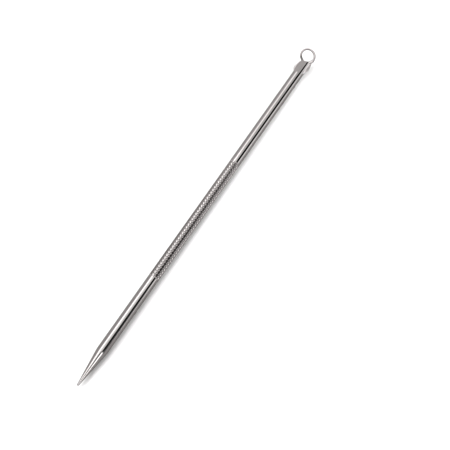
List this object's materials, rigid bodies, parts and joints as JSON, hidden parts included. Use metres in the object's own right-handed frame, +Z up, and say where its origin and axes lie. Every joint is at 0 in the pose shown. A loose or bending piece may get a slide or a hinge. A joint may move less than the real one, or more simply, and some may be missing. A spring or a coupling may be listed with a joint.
{
  "type": "needle and loop skin tool",
  "caption": "Slim steel hand tool with a needle point at one end, a knurled grip and a small wire loop crimped into the other end.",
  "frame": {"origin": "under the middle of the tool, on the surface that it lies on", "axes": "+X along the rod from the needle point to the wire loop, +Z up from the surface, +Y to the left of +X"},
  "size_m": [0.12, 0.005, 0.0035],
  "materials": {
    "rod_steel": "polished stainless steel with fine lines round the rod, and a knurled grip",
    "loop_steel": "drawn and polished stainless steel wire"
  },
  "bodies": {
    "root": {"needle_rod": "rod_steel", "wire_loop": "loop_steel"}
  },
  "joints": []
}
